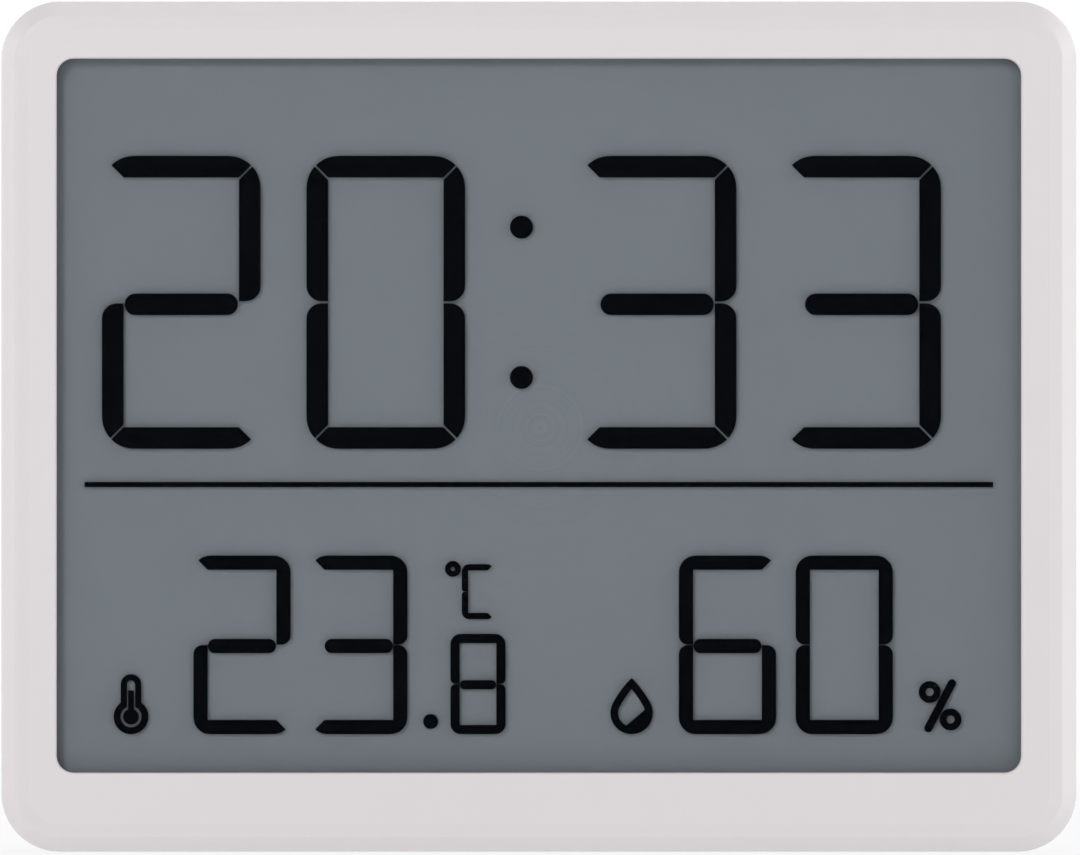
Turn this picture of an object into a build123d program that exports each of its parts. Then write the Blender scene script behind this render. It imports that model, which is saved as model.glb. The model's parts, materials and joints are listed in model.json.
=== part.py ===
from build123d import *
import os
from math import asin, cos, degrees, hypot, radians, sin

# A slim clock with a segment display of time, temperature and humidity, for a desk or a wall.
# X runs to the right seen from the front, Y from the front face to the back, Z up.
# The origin lies under the middle of the case, on the surface that it stands on.
# All sizes are in millimetres. Depths are measured from the front face towards the back.

# Time figures
TIME_DIGIT_WIDTH = 13.58
TIME_DIGIT_HEIGHT = 25.07
TIME_STROKE = 1.855
TIME_CORNER_R = 2.75
TIME_END_R = 1.3
TIME_MITRE_GAP = 0.21
TIME_CENTRE_GAP = 0.17
TIME_BAR_DROP = 0.17
TIME_DIGIT_GAP = 3.92
TIME_PAIR_GAP = 9.63
TIME_SHIFT = -1.485
COLON_DOT_R = 0.99
COLON_DOT_SPACING = 12.86

# Figures of the two readings
SMALL_DIGIT_WIDTH = 8.325
SMALL_DIGIT_HEIGHT = 15.29
SMALL_STROKE = 1.2265
SMALL_CORNER_R = 1.45
SMALL_END_R = 0.8
SMALL_CENTRE_GAP = 0.03
SMALL_BAR_DROP = 0.1
SMALL_DIGIT_GAP = 1.67
TENTH_DIGIT_WIDTH = 4.72
TENTH_DIGIT_HEIGHT = 8.585
TENTH_STROKE = 0.795
TENTH_CORNER_R = 0.9
TENTH_END_R = 0.45
TENTH_CENTRE_GAP = 0.02
TENTH_BAR_DROP = 0.06
POINT_R = 0.645
POINT_RISE = 0.445
POINT_GAP_BEFORE = 1.34
POINT_GAP_AFTER = 1.045

# Unit signs and symbols
UNIT_WIDTH = 2.78
UNIT_HEIGHT = 4.72
UNIT_STROKE = 0.55
UNIT_CORNER_R = 0.65
UNIT_END_R = 0.25
UNIT_CENTRE_GAP = 0.02
UNIT_RISE = 1.25
DEGREE_R = 0.685
DEGREE_HOLE_R = 0.18
DEGREE_GAP = 0.075
DEGREE_RISE = 0.275
BULB_R = 1.495
BULB_HOLE_R = 0.9
MERCURY_BULB_R = 0.675
STEM_WIDTH = 1.77
STEM_RISE = 3.65
TUBE_WIDTH = 0.7
TUBE_RISE = 3.1
MERCURY_WIDTH = 0.5
MERCURY_RISE = 2.25
THERMOMETER_GAP = 3.835
READING_GAP = 8.964
DROP_R = 1.816
DROP_TIP_RISE = 3.01
DROP_WALL = 0.667
DROP_SHOULDER_ANGLE = 28.0
DROP_LEVEL_ANGLE = 40.6
DROP_LEVEL_OFFSET = 0.52
DROP_GAP = 2.224
PERCENT_RING_R = 0.94
PERCENT_HOLE_R = 0.34
PERCENT_SPREAD_X = 1.78
PERCENT_SPREAD_Z = 2.35
PERCENT_RISE = 2.435
PERCENT_SLASH_LENGTH = 4.35
PERCENT_SLASH_WIDTH = 0.7
PERCENT_SLASH_ANGLE = 62.3
PERCENT_GAP = 2.205
LOWER_ROW_SHIFT = -0.11

# Window and borders
SCREEN_SIDE_MARGIN = 4.94
SCREEN_LOWER_MARGIN = 3.26
SCREEN_UPPER_MARGIN = 8.28
DIVIDER_THICKNESS = 0.445
DIVIDER_INSET = 2.342
DIVIDER_GAP_BELOW = 5.85
DIVIDER_GAP_ABOVE = 2.83
WINDOW_CORNER_R = 1.45
WINDOW_EDGE_R = 0.22
SIDE_BORDER = 4.788
TOP_BORDER = 4.93
BOTTOM_BORDER = 6.8

# Case shells
CASE_CORNER_R = 5.0
SIDE_WALL = 1.8
FRONT_WALL = 1.2
WINDOW_LIP = 0.6
BACK_WALL = 1.5
EDGE_BEVEL_WIDTH = 1.55
EDGE_BEVEL_DEPTH = 1.65
CROWN_WIDTH = 0.85
CROWN_DROP = 0.3
EDGE_BLEND_R = 0.3
BACK_EDGE_R = 2.0
RIM_BEVEL = 0.15
SEAM_BEHIND_BOARD = 1.5
SEAM_BEVEL = 0.2
TONGUE_THICKNESS = 0.8
TONGUE_LENGTH = 1.3
FIT_GAP = 0.1
DEPTH_TOLERANCE = 0.001

# Display stack
GASKET_THICKNESS = 0.15
POLARISER_THICKNESS = 0.15
GLASS_THICKNESS = 0.4
CRYSTAL_LAYER = 0.1
GLASS_OVERLAP = 1.2
POLARISER_OVERLAP = 0.9
SEAL_OVERLAP = 0.5
CONTACT_LEDGE = 2.4
GLASS_GAP = 0.2
ZEBRA_LENGTH = 71.0
ZEBRA_WIDTH = 1.8
ZEBRA_EDGE_GAP = 0.2
ZEBRA_GAP = 0.15

# Display tray
TRAY_PLATE = 1.35
TRAY_GAP = 0.15
SNAP_WIDTH = 6.0
SNAP_REACH = 0.5
SNAP_GAP = 0.1
SNAP_SPREAD_X = 50.0
SNAP_SPREAD_Z = 40.0
STAKE_R = 0.8
STAKE_HEAD_R = 1.4
STAKE_HEAD = 0.6
STAKE_GAP = 0.1
STAKE_LOW = 9.0
STAKE_SIDE_RISE = 18.0
STAKE_HIGH_X = 20.0

# Board and what is soldered to it
BOARD_THICKNESS = 1.0
BOARD_GAP = 0.3
BOARD_CORNER_R = 1.5
BOARD_HOLE_GAP = 0.3
BOARD_WELL_GAP = 1.15
BLOB_R = 5.0
BLOB_HEIGHT = 1.2
BLOB_RISE = 26.0
CRYSTAL_R = 1.0
CRYSTAL_LENGTH = 6.0
CRYSTAL_LEAD_R = 0.2
CRYSTAL_LEAD_LENGTH = 2.0
CRYSTAL_X = 20.5
SENSOR_SIZE = 3.0
SENSOR_HEIGHT = 1.0
SENSOR_PORT_R = 0.6
SENSOR_PORT_DEPTH = 0.3
CHIP_LENGTH = 1.6
CHIP_WIDTH = 0.8
CHIP_HEIGHT = 0.8
CHIP_OFFSET = 9.0
CHIP_SPACING = 3.0
RESISTOR_HEIGHT = 0.5

# Case screws
SCREW_INSET = 7.2
SCREW_R = 1.0
SCREW_LENGTH = 3.7
SCREW_HEAD_R = 1.8
SCREW_HEAD = 1.2
SCREW_SLOT_LENGTH = 2.0
SCREW_SLOT_WIDTH = 0.4
SCREW_SLOT_DEPTH = 0.5
SCREW_GAP = 0.03
COUNTERBORE_GAP = 0.3
COUNTERBORE_DEPTH = 1.8
POST_WALL = 0.9
POST_FLOOR = 0.8
BOSS_R = 2.3

# Coin cell with its contacts, well and door
CELL_R = 10.0
CELL_HEIGHT = 3.2
CELL_CAP_R = 8.8
CELL_CAP_HEIGHT = 0.3
CELL_GAP = 0.25
CELL_EDGE_R = 0.3
WELL_WALL = 1.0
WELL_SHELF = 0.8
WELL_SIDE_MARGIN = 4.5
WELL_TOP_MARGIN = 7.0
CONTACT_THICKNESS = 0.3
CONTACT_WIDTH = 4.0
CONTACT_FOOT = 4.0
CONTACT_REACH = 2.0
CONTACT_END_GAP = 0.2
CONTACT_GAP = 0.45
CONTACT_TOUCH = 0.02
DOOR_FLUSH = 0.05
DOOR_DISC = 0.9
DOOR_LIP = 0.9
DOOR_TAB = 0.8
DOOR_TAB_REACH = 1.2
DOOR_TAB_ANGLE = 24.0
DOOR_TURN = 40.0
DOOR_TAB_COUNT = 3
DOOR_GAP = 0.2
DOOR_TAB_GAP = 0.1
DOOR_SEAT_GAP = 0.05
DOOR_PAD_INSET = 0.6
DOOR_EDGE_R = 0.3
DOOR_MARK_R = 0.6
DOOR_MARK_STROKE = 0.3
DOOR_MARK_DEPTH = 0.3
DOOR_MARK_MARGIN = 1.4
COIN_SLOT_LENGTH = 14.0
COIN_SLOT_WIDTH = 1.8
COIN_SLOT_DEPTH = 0.6

# Folding stand
STAND_THICKNESS = 2.0
STAND_TIP_MARGIN = 3.0
STAND_TIP_R = 3.0
STAND_FLUSH = 0.1
STAND_SIDE_GAP = 0.3
STAND_END_GAP = 0.4
STAND_OPEN_ANGLE = 40.0
STAND_BARREL_R = 1.35
STAND_FLOOR_GAP = 0.15
STAND_PIN_R = 0.6
STAND_PIN_GAP = 0.05
STAND_PIN_SEAT = 0.8
STAND_PIN_SEAT_GAP = 0.02
STAND_HEEL = 0.9
STAND_EDGE_R = 0.4
STAND_STOP_GAP = 0.05
STAND_KEYHOLE_GAP = 6.0
STAND_WELL_GAP = 0.5
GRIP_COUNT = 3
GRIP_PITCH = 2.0
GRIP_WIDTH = 0.9
GRIP_LENGTH = 12.0
GRIP_DEPTH = 0.4
RECESS_WALL = 1.0
ROOM_UNDER_STAND = 1.75
FINGER_NOTCH_WIDTH = 14.0
FINGER_NOTCH_DEPTH = 2.2

# Keyhole, vents and magnets
KEYHOLE_R = 3.6
KEYHOLE_SLOT_R = 1.8
KEYHOLE_DROP = 6.0
KEYHOLE_TOP_MARGIN = 6.3
KEYHOLE_POCKET_GAP = 1.0
KEYHOLE_POCKET_DEPTH = 2.9
KEYHOLE_POCKET_WALL = 0.8
VENT_COUNT = 5
VENT_PITCH = 2.2
VENT_WIDTH = 1.2
VENT_LENGTH = 8.0
VENT_X = 15.5
VENT_TOP_MARGIN = 12.8
MAGNET_R = 5.0
MAGNET_THICKNESS = 1.5
MAGNET_GAP = 0.15
MAGNET_RING_WALL = 0.8
MAGNET_RING_SHORT = 0.1
MAGNET_SIDE_MARGIN = 15.0
MAGNET_RISE = 16.0

# Buttons and their switches
BUTTON_NAMES = ("mode", "up", "down", "unit")
BUTTON_WIDTH = 8.0
BUTTON_HEIGHT = 5.0
BUTTON_PITCH = 10.0
BUTTON_SIDE_MARGIN = 15.0
BUTTON_TOP_MARGIN = 10.8
BUTTON_FLUSH = 0.1
BUTTON_GAP = 0.15
BUTTON_FLANGE = 0.8
BUTTON_FLANGE_REACH = 0.7
BUTTON_STEM_R = 1.5
BUTTON_EDGE_R = 0.4
BUTTON_MARK_R = 1.1
BUTTON_MARK_STROKE = 0.45
BUTTON_MARK_DEPTH = 0.2
SWITCH_SIZE = 4.5
SWITCH_HEIGHT = 1.5
PLUNGER_R = 1.1
PLUNGER_PROUD = 0.5
PLUNGER_TRAVEL = 0.35
PLUNGER_GAP = 0.1
PLUNGER_SUNK = 0.4

# What the display shows, and the bars that each sign lights
TIME_SHOWN = "20:33"
TEMPERATURE_SHOWN = "23.8C"
HUMIDITY_SHOWN = "60%"
LIT_BARS = {"0": "abcdef", "2": "abdeg", "3": "abcdg", "6": "acdefg", "8": "abcdefg", "C": "adef"}

time_signs = TIME_SHOWN.replace(":", "")
degree_signs, below_point = TEMPERATURE_SHOWN.split(".")
tenth_sign, unit_sign = below_point
humidity_signs = HUMIDITY_SHOWN.rstrip("%")

# Rows of the display, from left to right and from the bottom up
percent_width = PERCENT_SPREAD_X + 2 * PERCENT_RING_R
small_pair_width = 2 * SMALL_DIGIT_WIDTH + SMALL_DIGIT_GAP
thermometer_x = BULB_R
temperature_x = 2 * BULB_R + THERMOMETER_GAP
point_x = temperature_x + small_pair_width + POINT_GAP_BEFORE + POINT_R
tenth_x = point_x + POINT_R + POINT_GAP_AFTER
drop_x = tenth_x + TENTH_DIGIT_WIDTH + READING_GAP + DROP_R
humidity_x = drop_x + DROP_R + DROP_GAP
percent_x = humidity_x + small_pair_width + PERCENT_GAP + percent_width / 2
lower_row_width = percent_x + percent_width / 2
lower_row_left = LOWER_ROW_SHIFT - lower_row_width / 2
time_row_width = len(time_signs) * TIME_DIGIT_WIDTH + 2 * TIME_DIGIT_GAP + TIME_PAIR_GAP
time_row_left = TIME_SHIFT - time_row_width / 2

window_width = max(lower_row_width, time_row_width) + 2 * SCREEN_SIDE_MARGIN
window_low = BOTTOM_BORDER
base_line = window_low + SCREEN_LOWER_MARGIN
divider_low = base_line + SMALL_DIGIT_HEIGHT + DIVIDER_GAP_BELOW
time_low = divider_low + DIVIDER_THICKNESS + DIVIDER_GAP_ABOVE
window_high = time_low + TIME_DIGIT_HEIGHT + SCREEN_UPPER_MARGIN
window_height = window_high - window_low
window_mid = (window_low + window_high) / 2
zebra_low = window_low - GLASS_OVERLAP - CONTACT_LEDGE + ZEBRA_EDGE_GAP
time_mid = time_low + TIME_DIGIT_HEIGHT / 2
reading_mid = base_line + SMALL_DIGIT_HEIGHT / 2

case_width = window_width + 2 * SIDE_BORDER
case_height = window_high + TOP_BORDER
case_mid = case_height / 2

# Depths of the layers, each behind the one before it
polariser_front = WINDOW_LIP + GASKET_THICKNESS
front_glass_front = polariser_front + POLARISER_THICKNESS
segment_front = front_glass_front + GLASS_THICKNESS
rear_glass_front = segment_front + CRYSTAL_LAYER
reflector_front = rear_glass_front + GLASS_THICKNESS
tray_front = reflector_front + POLARISER_THICKNESS
board_front = tray_front + TRAY_PLATE
board_back = board_front + BOARD_THICKNESS
cell_front = board_front + CONTACT_THICKNESS
cell_back = cell_front + CELL_HEIGHT
recess_depth = STAND_FLUSH + 2 * STAND_BARREL_R + STAND_FLOOR_GAP
door_stack = DOOR_TAB + DOOR_TAB_GAP + DOOR_LIP + DOOR_SEAT_GAP + DOOR_DISC + DOOR_FLUSH
depth_for_cell = cell_back + 2 * DOOR_TAB_GAP + door_stack
depth_for_stand = board_back + ROOM_UNDER_STAND + RECESS_WALL + recess_depth
case_depth = max(depth_for_cell, depth_for_stand)
back_inside = case_depth - BACK_WALL
seam = board_back + SEAM_BEHIND_BOARD
tongue_front = seam - TONGUE_LENGTH
recess_floor = case_depth - recess_depth
post_front = case_depth - COUNTERBORE_DEPTH - POST_FLOOR
screw_seat = case_depth - COUNTERBORE_DEPTH
crown_slant = CROWN_DROP * hypot(EDGE_BEVEL_WIDTH, EDGE_BEVEL_DEPTH) / EDGE_BEVEL_DEPTH

# Places on the back
screw_x = case_width / 2 - SCREW_INSET
screw_places = [(side * screw_x, z) for side in (-1, 1) for z in (SCREW_INSET, case_height - SCREW_INSET)]
counterbore_r = SCREW_HEAD_R + COUNTERBORE_GAP

pocket_r = CELL_R + CELL_GAP
tube_r = pocket_r + WELL_WALL
door_hub_r = tube_r + DOOR_SEAT_GAP
lip_r = door_hub_r + DOOR_GAP
door_r = door_hub_r + DOOR_TAB_REACH
seat_r = door_r + DOOR_GAP
well_r = seat_r + WELL_WALL
well_x = -(case_width / 2 - WELL_SIDE_MARGIN - well_r)
well_z = case_height - WELL_TOP_MARGIN - well_r
disc_front = case_depth - DOOR_FLUSH - DOOR_DISC
lip_back = disc_front - DOOR_SEAT_GAP
lip_front = lip_back - DOOR_LIP
tab_back = lip_front - DOOR_TAB_GAP
tab_front = tab_back - DOOR_TAB
shelf_back = tab_front - DOOR_TAB_GAP
shelf_front = shelf_back - WELL_SHELF
tube_front = cell_front + CELL_CAP_HEIGHT

keyhole_top_z = case_height - KEYHOLE_TOP_MARGIN - KEYHOLE_SLOT_R
keyhole_z = keyhole_top_z - KEYHOLE_DROP
keyhole_pocket_width = 2 * (KEYHOLE_R + KEYHOLE_POCKET_GAP)
keyhole_pocket_low = keyhole_z - KEYHOLE_R - KEYHOLE_POCKET_GAP
keyhole_pocket_high = keyhole_top_z + KEYHOLE_R + KEYHOLE_POCKET_GAP
keyhole_pocket_front = back_inside - KEYHOLE_POCKET_DEPTH

stand_width = 2 * (-well_x - well_r - STAND_WELL_GAP - RECESS_WALL - STAND_SIDE_GAP)
recess_width = stand_width + 2 * STAND_SIDE_GAP
recess_high = keyhole_pocket_low - KEYHOLE_POCKET_WALL - STAND_KEYHOLE_GAP - RECESS_WALL
recess_low = STAND_TIP_MARGIN - STAND_END_GAP
stand_back = case_depth - STAND_FLUSH
hinge_depth = stand_back - STAND_BARREL_R
floor_below_hinge = STAND_BARREL_R + STAND_FLOOR_GAP
heel_inside = STAND_BARREL_R - STAND_HEEL
open_angle = radians(STAND_OPEN_ANGLE)
stop_drop = heel_inside * cos(open_angle) + floor_below_hinge - STAND_STOP_GAP
heel_length = stop_drop / sin(open_angle)
hinge_z = recess_high - hypot(heel_length, STAND_BARREL_R) - STAND_END_GAP
pin_length = recess_width + 2 * STAND_PIN_SEAT
pin_hole_r = STAND_PIN_R + STAND_PIN_SEAT_GAP

magnet_x = case_width / 2 - MAGNET_SIDE_MARGIN
magnet_places = [(side * magnet_x, MAGNET_RISE) for side in (-1, 1)]
magnet_front = back_inside - MAGNET_THICKNESS
vent_z = case_height - VENT_TOP_MARGIN
vent_places = [(VENT_X + (i - (VENT_COUNT - 1) / 2) * VENT_PITCH, vent_z) for i in range(VENT_COUNT)]

button_x = case_width / 2 - BUTTON_SIDE_MARGIN
button_places = {
    name: (button_x, case_height - BUTTON_TOP_MARGIN - i * BUTTON_PITCH)
    for i, name in enumerate(BUTTON_NAMES)
}
flange_front = back_inside - BUTTON_FLANGE
switch_back = board_back + SWITCH_HEIGHT
plunger_back = switch_back + PLUNGER_PROUD
plunger_front = switch_back - PLUNGER_SUNK
plunger_hole_front = plunger_front - PLUNGER_TRAVEL - PLUNGER_GAP

stake_places = [
    (-screw_x, STAKE_SIDE_RISE),
    (screw_x, STAKE_SIDE_RISE),
    (0, STAKE_LOW),
    (STAKE_HIGH_X, case_height - STAKE_LOW),
]


def depth_plane(depth):
    """Plane across the case at a depth, with its local x and y along X and Z."""
    return Plane(origin=(0, depth - case_depth / 2, 0), x_dir=(1, 0, 0), z_dir=(0, -1, 0))


def slab(profile, front, back):
    """Solid of a front-view profile between two depths."""
    return extrude(depth_plane(back) * profile, amount=back - front)


def disc(place, radius, front, back):
    """Round solid with its axis along the depth."""
    return slab(Pos(*place) * Circle(radius), front, back)


def bar_along_x(radius, depth, z, length):
    """Round solid with its axis along X, in the middle of the width."""
    section = Pos(depth - case_depth / 2, z) * Circle(radius)
    return extrude(Plane.YZ.offset(-length / 2) * section, amount=length)


def box_profile(left, right, low, high):
    """Upright rectangle between two x and two z values."""
    return Pos((left + right) / 2, (low + high) / 2) * Rectangle(right - left, high - low)


def case_outline(inset):
    """Outline of the case, moved in by an inset."""
    radius = CASE_CORNER_R - inset
    return Pos(0, case_mid) * RectangleRounded(case_width - 2 * inset, case_height - 2 * inset, radius)


def window_outline(overlap):
    """Outline of the window, moved out by an overlap."""
    width = window_width + 2 * overlap
    height = window_height + 2 * overlap
    return Pos(0, window_mid) * RectangleRounded(width, height, WINDOW_CORNER_R + overlap)


def glass_outline(overlap, ledge):
    """Outline of a pane that passes the window by an overlap, and its lower edge by a ledge as well."""
    half = window_width / 2 + overlap
    return box_profile(-half, half, window_low - overlap - ledge, window_high + overlap)


def group(solids):
    """Separate solids of one node."""
    return Compound(children=[solid for shape in solids for solid in shape.solids()])


def edges_at_depth(shape, depth):
    """Edges that lie wholly at one depth."""
    y = depth - case_depth / 2
    return shape.edges().filter_by_position(Axis.Y, y - DEPTH_TOLERANCE, y + DEPTH_TOLERANCE)


def figure(sign, width, height, stroke, corner_r, end_r, mitre_gap, centre_gap, bar_drop):
    """Lit bars of one seven-bar figure about its middle, with mitred corners and a round-ended bar."""
    inner_x = width / 2 - stroke
    inner_z = height / 2 - stroke
    outer_x = width / 2
    outer_z = height / 2
    wedge = make_face(Polyline(
        (-inner_x, inner_z), (inner_x, inner_z), (outer_x, outer_z), (-outer_x, outer_z), close=True
    ))
    top = RectangleRounded(width, height, corner_r) & wedge
    half_height = (height - centre_gap) / 2
    half = Pos(0, (outer_z + centre_gap / 2) / 2) * Rectangle(width, half_height)
    half = fillet(half.vertices().group_by(Axis.Y)[-1], corner_r)
    half = fillet(half.vertices().group_by(Axis.Y)[0], end_r)
    mitre_low = inner_z - mitre_gap
    upright = make_face(Polyline(
        (inner_x, 0), (outer_x, 0), (outer_x, mitre_low + stroke), (inner_x, mitre_low), close=True
    ))
    right = half & upright
    bars = {
        "a": top,
        "b": right,
        "c": mirror(right, about=Plane.XZ),
        "d": mirror(top, about=Plane.XZ),
        "e": mirror(mirror(right, about=Plane.XZ), about=Plane.YZ),
        "f": mirror(right, about=Plane.YZ),
        "g": Pos(0, -bar_drop) * SlotOverall(2 * (inner_x - centre_gap / 2), stroke),
    }
    return Sketch() + [bars[name] for name in LIT_BARS[sign]]


def time_figure(sign):
    """One large figure of the time."""
    return figure(sign, TIME_DIGIT_WIDTH, TIME_DIGIT_HEIGHT, TIME_STROKE, TIME_CORNER_R, TIME_END_R,
                  TIME_MITRE_GAP, TIME_CENTRE_GAP, TIME_BAR_DROP)


def small_figure(sign):
    """One figure of a reading."""
    return figure(sign, SMALL_DIGIT_WIDTH, SMALL_DIGIT_HEIGHT, SMALL_STROKE, SMALL_CORNER_R, SMALL_END_R,
                  0, SMALL_CENTRE_GAP, SMALL_BAR_DROP)


def small_pair(signs, left):
    """Two figures side by side, from a left edge on the lower row."""
    pitch = SMALL_DIGIT_WIDTH + SMALL_DIGIT_GAP
    first = lower_row_left + left + SMALL_DIGIT_WIDTH / 2
    return [Pos(first + i * pitch, reading_mid) * small_figure(sign) for i, sign in enumerate(signs)]


def segments(profiles):
    """Driven areas of the liquid crystal layer."""
    return group([slab(profile, segment_front, rear_glass_front) for profile in profiles])


def make_time_digits():
    """Four large figures in two pairs."""
    pitch = TIME_DIGIT_WIDTH + TIME_DIGIT_GAP
    first = time_row_left + TIME_DIGIT_WIDTH / 2
    third = first + pitch + TIME_DIGIT_WIDTH + TIME_PAIR_GAP
    places = [first, first + pitch, third, third + pitch]
    return segments([Pos(x, time_mid) * time_figure(sign) for x, sign in zip(places, time_signs)])


def make_colon():
    """Two round dots between the pairs of the time."""
    rises = (-COLON_DOT_SPACING / 2, COLON_DOT_SPACING / 2)
    return segments([Pos(TIME_SHIFT, time_mid + rise) * Circle(COLON_DOT_R) for rise in rises])


def make_divider():
    """Line between the time and the readings."""
    half = window_width / 2 - DIVIDER_INSET
    return segments([box_profile(-half, half, divider_low, divider_low + DIVIDER_THICKNESS)])


def make_temperature_digits():
    """Two figures, the decimal point and a smaller figure for the tenth."""
    point = Pos(lower_row_left + point_x, base_line + POINT_RISE + POINT_R) * Circle(POINT_R)
    tenth = figure(tenth_sign, TENTH_DIGIT_WIDTH, TENTH_DIGIT_HEIGHT, TENTH_STROKE, TENTH_CORNER_R,
                   TENTH_END_R, 0, TENTH_CENTRE_GAP, TENTH_BAR_DROP)
    tenth_mid_x = lower_row_left + tenth_x + TENTH_DIGIT_WIDTH / 2
    tenth = Pos(tenth_mid_x, base_line + TENTH_DIGIT_HEIGHT / 2) * tenth
    return segments(small_pair(degree_signs, temperature_x) + [point, tenth])


def make_temperature_symbols():
    """Thermometer outline with its column, and the sign for degrees."""
    def stem(width, rise):
        return Pos(0, rise / 2) * SlotOverall(rise + width, width, rotation=90)

    bulb = Circle(BULB_R) + stem(STEM_WIDTH, STEM_RISE - STEM_WIDTH / 2)
    hole = Circle(BULB_HOLE_R) + stem(TUBE_WIDTH, TUBE_RISE - TUBE_WIDTH / 2)
    column = Circle(MERCURY_BULB_R) + Pos(0, MERCURY_RISE / 2) * Rectangle(MERCURY_WIDTH, MERCURY_RISE)
    place = Pos(lower_row_left + thermometer_x, base_line + BULB_R)
    unit_x = lower_row_left + tenth_x + TENTH_DIGIT_WIDTH / 2
    unit_low = base_line + TENTH_DIGIT_HEIGHT + UNIT_RISE
    letter = figure(unit_sign, UNIT_WIDTH, UNIT_HEIGHT, UNIT_STROKE, UNIT_CORNER_R, UNIT_END_R,
                    0, UNIT_CENTRE_GAP, 0)
    letter = Pos(unit_x, unit_low + UNIT_HEIGHT / 2) * letter
    ring_x = unit_x - UNIT_WIDTH / 2 - DEGREE_GAP - DEGREE_R
    ring_z = unit_low + UNIT_HEIGHT + DEGREE_RISE - DEGREE_R
    ring = Pos(ring_x, ring_z) * (Circle(DEGREE_R) - Circle(DEGREE_HOLE_R))
    return segments([place * (bulb - hole), place * column, letter, ring])


def make_humidity_digits():
    """Two figures of the humidity."""
    return segments(small_pair(humidity_signs, humidity_x))


def make_humidity_symbols():
    """Drop with a slanting level, and the percent sign."""
    shoulder = radians(DROP_SHOULDER_ANGLE)
    right = (DROP_R * cos(shoulder), DROP_R * sin(shoulder))
    left = (-right[0], right[1])
    tip = (0, DROP_TIP_RISE)
    outline = Curve() + [
        ThreePointArc(left, (0, -DROP_R), right),
        TangentArc(right, tip, tangent=(-sin(shoulder), cos(shoulder))),
        TangentArc(left, tip, tangent=(sin(shoulder), cos(shoulder))),
    ]
    drop = make_face(outline)
    span = 2 * (DROP_R + DROP_TIP_RISE)
    above_level = Rot(0, 0, DROP_LEVEL_ANGLE) * Pos(0, span / 2 - DROP_LEVEL_OFFSET) * Rectangle(span, span)
    drop -= offset(drop, amount=-DROP_WALL) & above_level
    ring = Circle(PERCENT_RING_R) - Circle(PERCENT_HOLE_R)
    slash = SlotCenterToCenter(PERCENT_SLASH_LENGTH, PERCENT_SLASH_WIDTH, rotation=PERCENT_SLASH_ANGLE)
    percent = Pos(lower_row_left + percent_x, base_line + PERCENT_RISE)
    upper = Pos(-PERCENT_SPREAD_X / 2, PERCENT_SPREAD_Z / 2)
    lower = Pos(PERCENT_SPREAD_X / 2, -PERCENT_SPREAD_Z / 2)
    drop_place = Pos(lower_row_left + drop_x, base_line + DROP_R)
    return segments([drop_place * drop, percent * upper * ring, percent * lower * ring, percent * slash])


def snap_places():
    """Places on the inside of the case wall: four at the sides, four at the top and bottom."""
    signs = [(-1, -1), (-1, 1), (1, -1), (1, 1)]
    half_width = case_width / 2 - SIDE_WALL
    half_height = case_height / 2 - SIDE_WALL
    sides = [(a * half_width, case_mid + b * SNAP_SPREAD_Z / 2) for a, b in signs]
    ends = [(a * SNAP_SPREAD_X / 2, case_mid + b * half_height) for a, b in signs]
    return sides, ends


def snap_blocks(reach, gap):
    """Tabs across the tray's edge, or the pockets for them when a gap is given."""
    sides, ends = snap_places()
    length = SNAP_WIDTH + 2 * gap
    across = 2 * (reach + gap)
    front = tray_front - gap
    back = board_front + gap
    blocks = [slab(Pos(*place) * Rectangle(across, length), front, back) for place in sides]
    blocks += [slab(Pos(*place) * Rectangle(length, across), front, back) for place in ends]
    return blocks


def make_front_bezel():
    """Front shell with a bevelled edge and a flat crown inside it, the window and a rebate for the glass."""
    shell = slab(case_outline(0), 0, seam)
    face = shell.faces().sort_by(Axis.Y)[0]
    shell = chamfer(face.edges(), length=EDGE_BEVEL_WIDTH, length2=EDGE_BEVEL_DEPTH, reference=face)
    face = shell.faces().sort_by(Axis.Y)[0]
    shell = chamfer(face.edges(), length=CROWN_WIDTH, length2=crown_slant, reference=face)
    for depth in (CROWN_DROP, EDGE_BEVEL_DEPTH):
        shell = fillet(edges_at_depth(shell, depth), EDGE_BLEND_R)
    shell = chamfer(edges_at_depth(shell, seam), SEAM_BEVEL)
    shell -= slab(case_outline(SIDE_WALL), FRONT_WALL, seam)
    shell -= slab(glass_outline(GLASS_OVERLAP + GLASS_GAP, CONTACT_LEDGE), WINDOW_LIP, FRONT_WALL)
    shell -= slab(window_outline(0), 0, WINDOW_LIP)
    shell = fillet(shell.faces().sort_by(Axis.Y)[0].inner_wires()[0].edges(), WINDOW_EDGE_R)
    for pocket in snap_blocks(SNAP_REACH, SNAP_GAP):
        shell -= pocket
    return shell


def make_gasket():
    """Thin frame between the window lip and the polariser."""
    frame = glass_outline(POLARISER_OVERLAP, 0) - window_outline(0)
    return slab(frame, WINDOW_LIP, polariser_front)


def make_edge_seal():
    """Frame of glue that closes the liquid crystal layer."""
    frame = glass_outline(GLASS_OVERLAP, 0) - window_outline(SEAL_OVERLAP)
    return slab(frame, segment_front, rear_glass_front)


def zebra_profile(gap):
    """Section of the rubber connector seen from the front, widened by a gap."""
    half = ZEBRA_LENGTH / 2 + gap
    return box_profile(-half, half, zebra_low - gap, zebra_low + ZEBRA_WIDTH + gap)


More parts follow.
